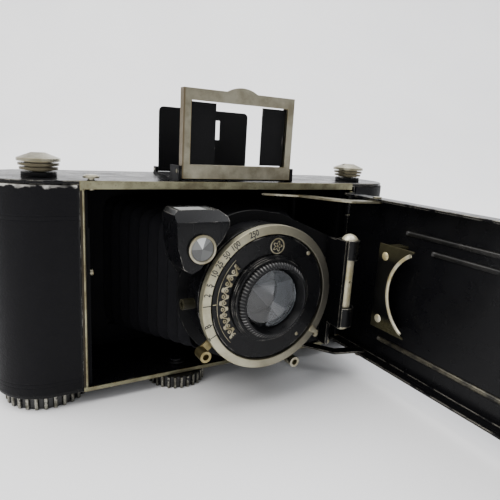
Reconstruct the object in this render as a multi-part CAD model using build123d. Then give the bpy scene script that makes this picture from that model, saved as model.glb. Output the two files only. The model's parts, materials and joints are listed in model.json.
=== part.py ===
from build123d import *
import os
from math import atan2, cos, degrees, pi, radians, sin

# Folding roll-film camera, lying landscape with its bed open at the side.
# Millimetres. +X along the body away from the winding end, +Y towards the back, +Z up.
# The origin is the mouth of the tripod socket, under the lens axis.

# case
case_length = 172.0
case_depth = 44.0
case_height = 76.0
end_radius = 17.5
sheet = 1.5
skin = 0.5
cover_depth = 5.0
gap = 0.3
running = 0.05

# front opening and the bed that closes it
opening_half = 58.4
hinge_x = 58.0
bed_length = 112.2
bed_edge_gap = 3.8
bed_sheet = 1.0
bed_flange = 6.2
hinge_pin_radius = 0.8
knuckle_radius = 1.6
case_knuckle = 10.0

# lens, shutter and standard
lens_z = case_height / 2 + 0.2
ring_front = 29.3
ring_outer = 26.2
ring_inner = 23.1
ring_depth = 3.0
drum_radius = 25.4
board_front = 14.0
board_sheet = 1.5
bezel_radius = 13.8
bezel_front = 33.4
glass_radius = 10.4
foot_x = 39.9
foot_front = 22.8
lever_layer = 0.6
stud_clear = 4.0
stud_radius = 2.0

# film
spool_x = 68.8
spool_front = 15.5
spool_flange = 12.0
spool_end_room = 5.1
gate_inset = 16.4
gate_margin = 10.0

# knobs and wheels
knob_radius = 7.0
wheel_height = 4.45
winding_radius = 14.4
focusing_radius = 11.6
focusing_x = -20.4
focusing_front = 7.6
wheel_teeth = 28
socket_radius = 4.0
socket_depth = 4.0

# finders
finder_x = 2.0
frame_width = 47.7
frame_depth = 3.3
frame_front = 2.6
frame_top = 33.2
frame_pivot_rise = 3.6
rear_width = 42.5
rear_top = 28.0
rear_front = 36.2
brilliant_clear = 3.3
brilliant_rise = 14.8
brilliant_pin = 1.0

# places worked out from the sizes above
front = -case_depth / 2
back = case_depth / 2
split = back - cover_depth
wall_x = opening_half - 2.0
wall_sheet = 1.2
bed_low = bed_edge_gap
bed_high = case_height - bed_edge_gap
frame_pivot = case_height + frame_pivot_rise
spool_y = front + spool_front
gate_width = 2 * (opening_half - gate_inset)
gate_height = case_height - 2 * gate_margin
spool_low = spool_end_room
spool_length = case_height - 2 * spool_end_room
stud_orbit = ring_outer + stud_clear
brilliant_x = -ring_outer - brilliant_clear
brilliant_z = lens_z + brilliant_rise
gate_y = split - 4.0
gate_sheet = 1.4

parts = {}


def block(x, y, z):
    """A box from three (low, high) pairs."""
    size = Box(x[1] - x[0], y[1] - y[0], z[1] - z[0])
    return Pos((x[0] + x[1]) / 2, (y[0] + y[1]) / 2, (z[0] + z[1]) / 2) * size


def post(x, y, z, radius):
    """A round bar along Z."""
    return Pos(x, y, (z[0] + z[1]) / 2) * Cylinder(radius, z[1] - z[0])


def barrel(x, y, z, radius):
    """A round bar along Y."""
    return Pos(x, (y[0] + y[1]) / 2, z) * Rot(90, 0, 0) * Cylinder(radius, y[1] - y[0])


def rail(x, y, z, radius):
    """A round bar along X."""
    return Pos((x[0] + x[1]) / 2, y, z) * Rot(0, 90, 0) * Cylinder(radius, x[1] - x[0])


def ahead(distance):
    """The Y of a plane this far in front of the case."""
    return front - distance


def on_lens(near, far, radius, bore=0.0):
    """A drum or tube on the lens axis between two distances in front of the case."""
    solid = barrel(0, (ahead(far), ahead(near)), lens_z, radius)
    if bore:
        solid -= barrel(0, (ahead(far) - 1, ahead(near) + 1), lens_z, bore)
    return solid


def case_block(inset, z):
    """The case's rounded outline, drawn in by inset, between two heights."""
    outline = RectangleRounded(case_length - 2 * inset, case_depth - 2 * inset, end_radius - inset)
    return Pos(0, 0, z[0]) * extrude(outline, z[1] - z[0])


def plate_xz(points, y):
    """A flat plate facing forward, from its outline in X and Z."""
    face = Plane.XZ * make_face(Polyline(*points, close=True))
    return Pos(0, y[1], 0) * extrude(face, y[1] - y[0])


def plate_xy(points, z):
    """A flat plate facing up, from its outline in X and Y."""
    face = make_face(Polyline(*points, close=True))
    return Pos(0, 0, z[0]) * extrude(face, z[1] - z[0])


def strip(points, width, z):
    """A flat arm along a path in X and Y, with round ends."""
    arm = post(*points[0], z, width / 2)
    for start, end in zip(points, points[1:]):
        run = Vector(*end) - Vector(*start)
        middle = (Vector(*end) + Vector(*start)) / 2
        turn = degrees(atan2(run.Y, run.X))
        arm += Pos(middle.X, middle.Y, (z[0] + z[1]) / 2) * Rot(0, 0, turn) * Box(run.length, width, z[1] - z[0])
        arm += post(*end, z, width / 2)
    return arm


def mirrored(solid):
    """The solid with its mirror image in the camera's middle height."""
    return mirror(solid, Plane.XY.offset(case_height / 2))


def toothed(radius, depth, teeth, z):
    """A wheel with blunt teeth around its rim."""
    step = 2 * pi / teeth
    corners = []
    for tooth in range(teeth):
        for share, reach in ((0.0, radius - depth), (0.12, radius), (0.42, radius), (0.54, radius - depth)):
            angle = (tooth + share) * step
            corners.append((reach * cos(angle), reach * sin(angle)))
    return plate_xy(corners, z)


# case -------------------------------------------------------------------
full = (0, case_height)
inside = (sheet, case_height - sheet)
before_split = block((-case_length, case_length), (front - 5, split), (-5, case_height + 5))
behind_split = block((-case_length, case_length), (split + gap / 2, back + 5), (-5, case_height + 5))

button_inset = 4.1
button_x = -opening_half + button_inset
button_y = front + 2.1
button_radius = 1.1
stem_radius = 2.2
wheel_shaft = 3.0
focus_shaft = 2.5

top_plate = case_block(0, (case_height - sheet, case_height)) & before_split
for side in (-1, 1):
    top_plate -= post(side * spool_x, spool_y, (case_height - 6, case_height + 4), stem_radius + running)
top_plate -= post(button_x, button_y, (case_height - 6, case_height + 4), button_radius + running)
parts["top_plate"] = top_plate

focusing_y = front + focusing_front
bottom_plate = case_block(0, (0, sheet)) & before_split
bottom_plate -= post(-spool_x, spool_y, (-5, 5), wheel_shaft + running)
bottom_plate -= post(focusing_x, focusing_y, (-5, 5), focus_shaft + running)
bottom_plate -= post(spool_x, spool_y, (-5, 5), 2.0)
bottom_plate -= post(0, 0, (-5, 5), socket_radius + 2.5)
parts["bottom_plate"] = bottom_plate

shell = (case_block(0, inside) - case_block(sheet, inside)) & before_split
jamb_x = hinge_x + knuckle_radius + gap

back_pin_x = -case_length / 2 + 2.8
back_pin_y = split + 0.4
back_pin_radius = 0.7
back_knuckle = 1.5
back_knuckle_low = (8.0, 20.0)
back_knuckle_high = (case_height - 20.0, case_height - 8.0)


def back_leaf(z, tab_y, tab_end):
    """One knuckle of the back's hinge with the tab that joins it to its sheet."""
    leaf = post(back_pin_x, back_pin_y, z, back_knuckle)
    leaf += block((back_pin_x, tab_end), tab_y, z)
    return leaf - post(back_pin_x, back_pin_y, (z[0] - 1, z[1] + 1), back_pin_radius + running)


left_shell = shell & block((-case_length, -opening_half), (front - 5, back), full)
for knuckle in (back_knuckle_low, back_knuckle_high):
    left_shell += back_leaf(knuckle, (back_pin_y - 1.5, back_pin_y - 0.6), -case_length / 2 + 5.6)
parts["end_shell_left"] = left_shell

right_shell = shell & block((jamb_x, case_length), (front - 5, back), full)
right_shell += block((jamb_x, jamb_x + wall_sheet), (front, front + 5), inside)
for low, high in ((bed_low, bed_low + case_knuckle), (bed_high - case_knuckle, bed_high)):
    right_shell += post(hinge_x, front, (low, high), knuckle_radius)
    right_shell += block((hinge_x, jamb_x + 0.5), (front, front + knuckle_radius), (low, high))
    right_shell -= post(hinge_x, front, (low - 1, high + 1), hinge_pin_radius)
parts["end_shell_right"] = right_shell

# film chamber walls with the gate that frames the picture
wall_inner = wall_x - wall_sheet
gate = block((-wall_x, wall_x), (gate_y, gate_y + gate_sheet), inside)
gate -= block((-gate_width / 2, gate_width / 2), (gate_y - 5, gate_y + 5),
              (lens_z - gate_height / 2, lens_z + gate_height / 2))
guide_inset = 6.4
guide_x = opening_half - guide_inset
guide_radius = 2.4
guide_y = gate_y + 0.2
for side in (-1, 1):
    slot_half = guide_radius + 0.6
    middle = side * guide_x
    gate -= block((middle - slot_half, middle + slot_half), (gate_y - 5, gate_y + 5), (4, case_height - 4))
gate += block((-wall_x, -wall_inner), (front + 1.5, gate_y), inside)
gate += block((wall_inner, wall_x), (front + 4, gate_y), inside)
gate += block((wall_inner, jamb_x + wall_sheet), (front + 5, front + 6), inside)
gate -= post(button_x, button_y, (case_height - 16, case_height + 4), button_radius + 0.5)
parts["film_gate"] = gate

guides = Part()
for side in (-1, 1):
    guides += post(side * guide_x, guide_y, (4, case_height - 4), guide_radius)
parts["film_guides"] = guides

trim_face = front - 0.4
trim = block((-opening_half, opening_half), (trim_face, front), (case_height - 2.8, case_height))
trim += block((-opening_half, hinge_x - 4), (front, front + 1.5), (case_height - 2.8, case_height - sheet))
trim += block((-opening_half, hinge_x - 4), (trim_face, front), (0, sheet))
trim += block((-opening_half, -opening_half + 1.6), (trim_face, front + 1.5), (sheet, case_height - sheet))
trim -= post(button_x, button_y, (case_height - 16, case_height + 4), button_radius + 0.5)
trim -= block((-wall_x - 5, -opening_half), (front, back), full)
trim -= post(hinge_x, front, (0, case_height - 2.8), knuckle_radius + gap)
parts["front_trim"] = trim


def end_leather(side):
    """Leather round one end of the case."""
    start = (opening_half if side < 0 else jamb_x) + 0.8
    span = (start, case_length) if side > 0 else (-case_length, -start)
    hide = case_block(-skin, (sheet, case_height - sheet)) - case_block(0, full)
    return hide & block(span, (front - 5, split - 3), full)


parts["leather_left"] = end_leather(-1)
parts["leather_right"] = end_leather(1)

bush = post(0, 0, (0, socket_depth + 0.6), socket_radius + 2.5)
bush += post(0, 0, (sheet, sheet + 1.2), socket_radius + 5)
parts["tripod_bush"] = bush - post(0, 0, (-1, socket_depth), socket_radius)

foot_height = wheel_height + gap
foot = post(spool_x, spool_y, (-foot_height, 0), 10.0)
foot = chamfer(foot.edges().group_by(Axis.Z)[0], 1.2)
pivot = post(spool_x, spool_y, (0, spool_low + 2.0), 2.0) + post(spool_x, spool_y, (sheet, spool_low - 0.4), 4.5)
parts["base_foot"] = foot + pivot

collar_height = 1.6
collars = Part()
for side in (-1, 1):
    ring = post(side * spool_x, spool_y, (case_height, case_height + collar_height), 5.8)
    collars += ring - post(side * spool_x, spool_y, (case_height - 1, case_height + 4), stem_radius + running)
parts["knob_collars"] = collars

stud_z = 42.0
stud_y = front + 9.6
parts["catch_stud"] = rail((-wall_inner, -wall_inner + 2.4), stud_y, stud_z, 1.3) + rail(
    (-wall_inner, -wall_inner + 0.8), stud_y, stud_z, 2.6)

# base and pins of the folding finder
rear_pivot_y = front + rear_front + 0.9
rear_pivot_z = case_height + 1.8
frame_pivot_y = front + frame_front + frame_depth / 2
ear_inner = frame_width / 2 + gap
ear_outer = ear_inner + 1.2
base_top = case_height + 0.7
base_front = frame_pivot_y + 3.8
frame_pin_radius = 0.7
rear_pin_radius = 0.5
base_back = rear_pivot_y + 2.0
ear_half = 1.9
base = plate_xy(
    [
        (finder_x - ear_outer, base_front),
        (finder_x + ear_outer, base_front),
        (finder_x + ear_outer, base_front + 6),
        (finder_x + rear_width / 2 + 1.6, base_front + 9),
        (finder_x + rear_width / 2 + 1.6, base_back),
        (finder_x - rear_width / 2 + 3, base_back),
        (finder_x - rear_width / 2 - 1.6, min(base_back + 1.6, split - 0.2)),
        (finder_x - rear_width / 2 - 1.6, base_front + 9),
        (finder_x - ear_outer, base_front + 6),
    ],
    (case_height, base_top),
)
for side in (-1, 1):
    low, high = sorted((finder_x + side * ear_inner, finder_x + side * ear_outer))
    ear = block((low, high), (frame_pivot_y - ear_half, base_front + 3), (case_height, frame_pivot + ear_half))
    base += ear - rail((low - 1, high + 1), frame_pivot_y, frame_pivot, frame_pin_radius)
    low, high = sorted((finder_x + side * (rear_width / 2 + gap), finder_x + side * (rear_width / 2 + 1.5)))
    ear = block((low, high), (rear_pivot_y - 1.4, rear_pivot_y + 1.4), (case_height, rear_pivot_z + 1.2))
    base += ear - rail((low - 1, high + 1), rear_pivot_y, rear_pivot_z, rear_pin_radius)
parts["finder_base"] = base

pins = post(hinge_x, front, (bed_low - 0.4, bed_high + 0.4), hinge_pin_radius)
pins += post(back_pin_x, back_pin_y, (back_knuckle_low[0] - 0.4, back_knuckle_high[1] + 0.4), back_pin_radius)
pins += rail((finder_x - ear_outer, finder_x + ear_outer), frame_pivot_y, frame_pivot, frame_pin_radius)
rear_reach = rear_width / 2 + 1.5
pins += rail((finder_x - rear_reach, finder_x + rear_reach), rear_pivot_y, rear_pivot_z, rear_pin_radius)
parts["hinge_pins"] = pins

# bellows, drawn out -------------------------------------------------------
bellows_wall = 2.0


def bellows_block(inset):
    """The bellows' tapered outline, drawn in by inset."""
    low = Pos(0, gate_y - 0.1, lens_z) * Rot(90, 0, 0) * Rectangle(
        gate_width + 4 - 2 * inset, gate_height + 4 - 2 * inset)
    high = Pos(0, ahead(board_front - board_sheet) + 0.1, lens_z) * Rot(90, 0, 0) * Rectangle(
        48 - 2 * inset, 48 - 2 * inset)
    return loft([low, high])


parts["bellows"] = bellows_block(0) - bellows_block(bellows_wall)

# bed ------------------------------------------------------------------------
bed_end = front - bed_length
bed_face = hinge_x - bed_sheet
flange_x = hinge_x - bed_flange
flange_start = front - 3.4
bed_mid_low = bed_low + case_knuckle + gap
bed_mid_high = bed_high - case_knuckle - gap
panel = block((bed_face, hinge_x), (bed_end, front - knuckle_radius - gap), (bed_low, bed_high))
for low, high in ((bed_low, bed_low + bed_sheet), (bed_high - bed_sheet, bed_high)):
    panel += block((flange_x, hinge_x), (bed_end, flange_start), (low, high))
panel += block((flange_x, hinge_x), (bed_end, bed_end + bed_sheet), (bed_low, bed_high))
panel += post(hinge_x, front, (bed_mid_low, bed_mid_high), knuckle_radius)
panel += block((bed_face, hinge_x), (front - 3, front), (bed_mid_low, bed_mid_high))
panel -= post(hinge_x, front, full, hinge_pin_radius + running)
strut_s = 21.0
strut_h = 4.2
strut_x = hinge_x - strut_h
strut_y = front - strut_s
rivet_radius = 1.0
panel -= post(strut_x, strut_y, full, rivet_radius + running)
parts["bed_panel"] = panel
parts["bed_leather"] = block((hinge_x, hinge_x + skin), (bed_end + 1.5, front - 3), (bed_low + 1.2, bed_high - 1.2))

arc_height = 7.2
arc_sheet = 0.8
arc_centre_y = ahead(53.2)
arc_radius = 18.6
arc_low = lens_z - 17.6
arc_high = lens_z + 17.2
arc_near = ahead(28.5)
arc_far = ahead(45.6)
rest = block((hinge_x - arc_height, hinge_x - arc_height + arc_sheet), (arc_far, arc_near), (arc_low, arc_high))
rest += block((hinge_x - arc_height, bed_face), (arc_near - 1, arc_near), (arc_low + 4, arc_high - 4))
for low in (arc_low, arc_high - 1):
    rest += block((hinge_x - arc_height, bed_face), (arc_far + 8, arc_near - 4), (low, low + 1))
rest -= rail((hinge_x - 20, hinge_x + 20), arc_centre_y, lens_z - 0.4, arc_radius) & block(
    (0, bed_face), (-200, 0), full)
parts["standard_rest"] = rest
rest_rivets = Part()
for rise in (12.4, -13.6):
    rest_rivets += rail((hinge_x - arc_height - 0.6, hinge_x - arc_height), ahead(32.0), lens_z + rise, 1.7)
parts["rest_rivets"] = rest_rivets

# struts -----------------------------------------------------------------------
strut_path = [
    (strut_x, strut_y),
    (hinge_x - 15.7, ahead(18.0)),
    (hinge_x - 21.9, ahead(9.5)),
    (hinge_x - 27.1, ahead(-0.9)),
    (hinge_x - 40.4, ahead(-7.6)),
]
strut_high = bed_high - bed_sheet - 0.2
strut = strip(strut_path, 4.6, (strut_high - 0.8, strut_high))
parts["upper_strut"] = strut
parts["lower_strut"] = mirrored(strut)
rivet = post(strut_x, strut_y, (strut_high, bed_high), rivet_radius)
rivet += post(strut_x, strut_y, (bed_high, bed_high + 0.5), 1.8)
parts["strut_rivets"] = rivet + mirrored(rivet)

# standard: the board that carries the shutter, with its foot --------------------
board_y = (ahead(board_front), ahead(board_front - board_sheet))
board_half = (bed_high - bed_low) / 2 - 5.2
board = barrel(0, board_y, lens_z, board_half)
tube_radius = 2.6
web_x = foot_x - tube_radius - 1.8
board += plate_xz(
    [(0, lens_z + board_half), (12, lens_z + board_half - 1.5), (web_x + 1.5, lens_z + 17.5),
     (web_x + 1.5, lens_z - board_half + 1), (0, lens_z - board_half)], board_y)
ear = [(-14, lens_z + board_half - 3), (brilliant_x + 1, lens_z + board_half - 3), (brilliant_x - 4, lens_z + 15),
       (brilliant_x + 0.5, lens_z + 8), (-18, lens_z + 11.8)]
board += plate_xz(ear, board_y)
board -= barrel(0, (board_y[0] - 1, board_y[1] + 1), lens_z, 13.0)
board += barrel(brilliant_x, (board_y[0] - 6, board_y[0]), brilliant_z, brilliant_pin)
parts["lens_board"] = board
foot_y = ahead(foot_front)
bracket = block((web_x, web_x + 1.5), (foot_y - 3, board_y[0]), (lens_z - 17.5, lens_z + 17.5))
bracket += block((web_x, web_x + 1.5), (foot_y + 3.7, board_y[0]), (lens_z - board_half + 1, lens_z - 17))
for low, high in ((lens_z - 18, lens_z - 10), (lens_z + 10, lens_z + 18)):
    bracket += post(foot_x, foot_y, (low, high), 4.2)
    bracket += block((web_x, foot_x), (foot_y - 3, foot_y + 3), (low, high))
parts["foot_bracket"] = bracket
tube = post(foot_x, foot_y, (lens_z - 10, lens_z + 10), tube_radius)
tube -= barrel(foot_x, (foot_y - 5, foot_y), lens_z + 0.8, 0.5)
cap = Pos(foot_x, foot_y, lens_z + 16.6) * Sphere(3.5)
cap = cap & block((0, 60), (-100, 0), (lens_z + 18, case_height))
parts["foot_tube"] = tube + cap + mirror(cap, Plane.XY.offset(lens_z))

# shutter ----------------------------------------------------------------------
drum_back = board_front + 0.2
lever_stack = 3 * (lever_layer + 0.2) + 0.2
ring_back = ring_front - ring_depth
core_radius = 20.0
stack_front = ring_back - 0.2
stack_back = stack_front - lever_stack
face_front = ring_front - 0.7
housing = on_lens(drum_back, stack_back, drum_radius, 13.0)
housing += on_lens(stack_back - 1, stack_front + 1, core_radius, 13.0)
housing += on_lens(stack_front, face_front - 0.6, ring_inner - running, 13.0)
parts["shutter_housing"] = housing
parts["face_plate"] = on_lens(face_front - 0.6, face_front, ring_inner - 0.7, 13.0)
parts["lens_mount"] = on_lens(face_front, face_front + 1.2, 15.8, 12.9) + on_lens(
    face_front + 1.2, face_front + 2.4, 14.9, 12.9)
parts["lens_bezel"] = on_lens(face_front, face_front + 2.4, 12.9, glass_radius) + on_lens(
    face_front + 2.4, bezel_front, bezel_radius, glass_radius + 0.6)


def lens_element(near, far, radius, bulge):
    """A glass disc on the lens axis with a domed front."""
    disc = on_lens(near, far, radius)
    ball = (radius ** 2 + bulge ** 2) / (2 * bulge)
    dome = Pos(0, ahead(far + bulge - ball), lens_z) * Sphere(ball)
    return disc + (dome & on_lens(far, far + bulge, radius))


parts["front_glass"] = lens_element(face_front - 0.4, face_front + 1.2, glass_radius, 1.4)
rear_length = 8.5
parts["rear_cell"] = on_lens(drum_back - rear_length, drum_back, 12.4, glass_radius - 0.4)
parts["rear_glass"] = on_lens(drum_back - rear_length + 1.5, drum_back - rear_length + 4.0, glass_radius - 0.4)
shutter_blades = on_lens(drum_back + 4.0, drum_back + 4.4, 12.9)
for blade in range(3):
    cut = Pos(0, ahead(drum_back + 4.2), lens_z) * Rot(0, 120 * blade, 0) * Pos(6.6, 0, 0) * Box(13, 2, 0.15)
    shutter_blades -= cut
parts["shutter_blades"] = shutter_blades
parts["iris_blades"] = on_lens(drum_back + 6.0, drum_back + 6.4, 12.9, 7.5)
cable_z = lens_z - 1.9
cable_y = ahead(board_front + 5.5)
cable_reach = -drum_radius - 4.2
cable_socket = rail((cable_reach, 1 - drum_radius), cable_y, cable_z, 1.9)
cable_socket -= on_lens(drum_back - 1, stack_back + 1, drum_radius)
cable_bore = 1.1
parts["cable_socket"] = cable_socket - rail((cable_reach - 1.4, -drum_radius - 0.2), cable_y, cable_z, cable_bore)

parts["speed_ring"] = on_lens(ring_back, ring_front, ring_outer, ring_inner)


def lever(layer, angle, tip, tip_radius, tip_front, hollow):
    """A collar behind the speed ring with an arm that ends in a finger stud."""
    near = stack_back + 0.2 + layer * (lever_layer + 0.2)
    far = near + lever_layer
    collar = on_lens(near, far, 24.6, core_radius + running)
    tip_x = tip * cos(radians(angle))
    tip_z = lens_z + tip * sin(radians(angle))
    arm_middle = (24.0 + tip) / 2
    arm_at = Pos(
        arm_middle * cos(radians(angle)), (ahead(near) + ahead(far)) / 2, lens_z + arm_middle * sin(radians(angle)))
    collar += arm_at * Rot(0, -angle, 0) * Box(tip - 23.0, lever_layer, 3.4)
    collar += barrel(tip_x, (ahead(tip_front), ahead(near)), tip_z, tip_radius)
    if hollow:
        collar -= barrel(tip_x, (ahead(tip_front + 1), ahead(tip_front - 2.5)), tip_z, tip_radius - 0.9)
    return collar


release_angle = -142.8
cocking_angle = -64.2
aperture_angle = -38.0
stud_front = ring_front - 0.5
parts["release_lever"] = lever(0, release_angle, stud_orbit, stud_radius, stud_front, True)
parts["cocking_lever"] = lever(1, cocking_angle, stud_orbit, stud_radius, stud_front, True)
parts["aperture_lever"] = lever(2, aperture_angle, ring_outer + 1.5, 1.0, ring_front - 0.2, False)

# brilliant finder ----------------------------------------------------------------
finder_face = ahead(27.6)
finder_back = board_y[0] - 0.3
shield = [(-5.6, 15.0), (-4.2, 16.4), (10.0, 16.4), (12.6, 14.4), (12.8, 11.4), (10.4, 7.0), (5.5, 1.6),
          (2.9, -2.4), (0, -3.8), (-2.8, -2.2), (-5.0, 5)]
shield = [(brilliant_x + x, brilliant_z + z) for x, z in shield]
brilliant = plate_xz(shield, (finder_face, finder_back))
slope = 3.4
nose = Pos(brilliant_x, finder_face, brilliant_z + 16.4) * Rot(45, 0, 0)
brilliant -= nose * Box(60, slope * 2 ** 0.5, slope * 2 ** 0.5)
well_x = (brilliant_x - 3.0, brilliant_x + 9.4)
well_y = (finder_face + slope + 0.8, finder_back - 1.6)
brilliant -= block(well_x, well_y, (brilliant_z + 8, brilliant_z + 27))
eye_x = brilliant_x + 3.1
eye_z = brilliant_z + 4.3
eye_radius = 3.9
brilliant -= barrel(eye_x, (finder_face - 1, finder_face + 3), eye_z, eye_radius)
brilliant -= barrel(brilliant_x, (board_y[0] - 6.2, 0), brilliant_z, brilliant_pin + running)
parts["brilliant_housing"] = brilliant
parts["brilliant_bezel"] = barrel(eye_x, (finder_face - 1.0, finder_face), eye_z, 4.8) - barrel(
    eye_x, (finder_face - 2, finder_face + 1), eye_z, eye_radius)
eye = barrel(eye_x, (finder_face - 0.5, finder_face + 1.4), eye_z, eye_radius)
window = block(well_x, well_y, (brilliant_z + 14.4, brilliant_z + 16.2))
parts["brilliant_glass"] = eye + window

# folding frame finder -------------------------------------------------------------
frame_y = (front + frame_front, front + frame_front + frame_depth)
frame_low = case_height + 0.9
frame_high = case_height + frame_top
half = frame_width / 2
side_bar = 3.0
top_bar = 4.1
sill = case_height + 6.0
face = block((finder_x - half, finder_x + half), frame_y, (frame_low, frame_high))
face -= block((finder_x - half + side_bar, finder_x + half - side_bar), (frame_y[0] - 1, frame_y[1] + 1),
              (sill, frame_high - top_bar))
face -= block((finder_x - half + side_bar, finder_x + half - side_bar), (frame_y[0] + 0.9, frame_y[1] + 1),
              (sill, frame_high - 0.8))
tab_rise = 1.8
tab_radius = 12.6
tab = barrel(finder_x, (frame_y[0], frame_y[0] + 0.8), frame_high + tab_rise - tab_radius, tab_radius)
face += tab & block((finder_x - 9, finder_x + 9), (frame_y[0] - 1, frame_y[1]), (frame_high - 3, frame_high + 3))
face -= rail((finder_x - 40, finder_x + 40), frame_pivot_y, frame_pivot, frame_pin_radius + running)
pin_x = half - side_bar + 0.1
flap_y = frame_y[0] + 1.9
flap_pin = 0.45
flap_low = sill + 0.4
flap_high = frame_high - top_bar - 0.4
parts["finder_frame"] = face
flap_width = 10.2
for name, side in (("mask_flap_left", -1), ("mask_flap_right", 1)):
    edge = finder_x + side * (half - side_bar - 0.5)
    low, high = sorted((edge, edge - side * flap_width))
    flap = block((low, high), (flap_y - 0.3, flap_y + 0.3), (flap_low, flap_high))
    parts[name] = flap + post(edge, flap_y, (sill, frame_high - top_bar), flap_pin)

sight_y = (front + rear_front, front + rear_front + 0.7)
sight = block((finder_x - rear_width / 2, finder_x + rear_width / 2), sight_y,
              (rear_pivot_z, case_height + rear_top))
sight = fillet(sight.edges().filter_by(Axis.Y).group_by(Axis.Z)[-1], 2.0)
sight += rail((finder_x - rear_width / 2, finder_x + rear_width / 2), rear_pivot_y, rear_pivot_z, 0.9)
sight -= rail((finder_x - 40, finder_x + 40), rear_pivot_y, rear_pivot_z, rear_pin_radius + running)
peep_z = case_height + 19.7
parts["rear_sight"] = sight - block((finder_x - 7.3, finder_x + 7.3), (0, 30), (peep_z - 4.2, peep_z + 4.2))

# knobs, wheels and spool ------------------------------------------------------------
knob_base = case_height + collar_height + 0.3


def pull_knob(side):
    """A pull-up knob: stem, two discs and a domed cap with a coin slot."""
    x = side * spool_x
    knob = post(x, spool_y, (spool_low + spool_length - 5, knob_base + 4), stem_radius)
    knob += post(x, spool_y, (knob_base, knob_base + 3.5), 4.5)
    knob += post(x, spool_y, (knob_base + 0.4, knob_base + 1.2), 6.2)
    knob += post(x, spool_y, (knob_base + 1.8, knob_base + 2.6), 6.6)
    knob += post(x, spool_y, (knob_base + 3.2, knob_base + 4.2), knob_radius)
    dome_base = knob_base + 4.2
    knob += Pos(x, spool_y, dome_base + 0.9) * Cone(knob_radius, 2.4, 1.8)
    return knob - block((x - 3.6, x + 3.6), (spool_y - 0.5, spool_y + 0.5), (dome_base + 1.0, dome_base + 3))


parts["takeup_knob"] = pull_knob(-1)
parts["supply_knob"] = pull_knob(1)

wheel_z = (-foot_height, -gap)
winding = Pos(-spool_x, spool_y, 0) * toothed(winding_radius, 0.9, wheel_teeth, wheel_z)
winding += post(-spool_x, spool_y, (-gap - 0.5, spool_low), wheel_shaft)
key_half = 0.6
winding += block((-spool_x - 2.4, -spool_x + 2.4), (spool_y - key_half, spool_y + key_half),
                 (spool_low - 0.5, spool_low + 3.4))
parts["winding_wheel"] = winding
spool = post(-spool_x, spool_y, (spool_low, spool_low + spool_length), 6.0)
for low in (spool_low, spool_low + spool_length - 1.0):
    spool += post(-spool_x, spool_y, (low, low + 1.0), spool_flange)
spool -= post(-spool_x, spool_y, (spool_low + 5, case_height), stem_radius + 0.2)
spool -= block((-spool_x - 2.7, -spool_x + 2.7), (spool_y - 0.9, spool_y + 0.9), (0, spool_low + 6))
parts["takeup_spool"] = spool

focusing = Pos(focusing_x, focusing_y, 0) * toothed(focusing_radius, 0.9, wheel_teeth, wheel_z)
focusing += post(focusing_x, focusing_y, (-gap - 0.5, 3.2), focus_shaft)
parts["focusing_wheel"] = focusing + post(focusing_x, focusing_y, (sheet + 0.3, sheet + 1.1), 4.0)

button_head = 2.7
button = post(button_x, button_y, (bed_high + 0.5, case_height + 1.0), button_radius)
button += post(button_x, button_y, (case_height + 0.8, case_height + 1.4), button_head)
button += Pos(button_x, button_y, case_height + 1.65) * Cone(button_head, button_head - 1, 0.5)
parts["release_button"] = button

# back -------------------------------------------------------------------------------
cover = (case_block(0, full) - case_block(sheet, inside)) & behind_split
cover += back_leaf((back_knuckle_low[1] + gap, back_knuckle_high[0] - gap), (back_pin_y + 0.5, back_pin_y + 1.5),
                   -case_length / 2 + 7.6)
window_x = 15.0
window_radius = 4.0
for side in (-1, 1):
    cover -= barrel(side * window_x, (0, 40), lens_z, window_radius)
slide_low = lens_z - 7.5
slide_high = lens_z + 7.5
for low in (slide_low - 1.6, slide_high):
    cover += block((-33, 33), (back, back + 1.9), (low, low + 1.6))
parts["back_cover"] = cover
hide_half = case_length / 2 - end_radius - 1.0
hide = block((-hide_half, hide_half), (back, back + skin), (2, case_height - 2))
hide -= block((-34, 34), (back - 1, back + 2), (slide_low - 2, slide_high + 2))
parts["back_leather"] = hide
windows = Part()
for side in (-1, 1):
    windows += barrel(side * window_x, (back - 1.2, back), lens_z, window_radius)
parts["red_windows"] = windows
slide = block((-26, 20), (back + 0.3, back + 1.1), (slide_low + 0.3, slide_high - 0.3))
for side in (-1, 1):
    slide -= barrel(side * window_x - 11, (back - 1, back + 3), lens_z, window_radius)
slide += block((-3, 3), (back + 1.1, back + 2.4), (lens_z - 4, lens_z + 4))
parts["window_slide"] = slide

plate_y = gate_y + gate_sheet + 1.0
plate_half = gate_width / 2 + 3
parts["pressure_plate"] = block((-plate_half, plate_half), (plate_y, plate_y + 0.9), (8, case_height - 8))
springs = Part()
for side in (-1, 1):
    middle = side * 22
    springs += block((middle - 12, middle + 12), (plate_y + 0.9, plate_y + 1.3), (lens_z - 3, lens_z + 3))
    springs += block((middle - 1, middle + 1), (plate_y + 1.3, back - sheet), (lens_z - 3, lens_z + 3))
parts["pressure_springs"] = springs

latch_low = case_height - 15
latch_high = case_height - 4
latch = (case_block(-skin - 1.8, (latch_low, latch_high)) - case_block(-skin - 0.3, (0, case_height)))
latch = latch & block((60, 100), (split - 9.6, split - 0.4), full)
parts["back_latch"] = latch

os.makedirs("parts", exist_ok=True)
for name, solid in parts.items():
    export_step(solid, f"parts/{name}.step")
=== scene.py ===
import json
import math
import bpy
import numpy as np
from mathutils import Matrix, Vector


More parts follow.
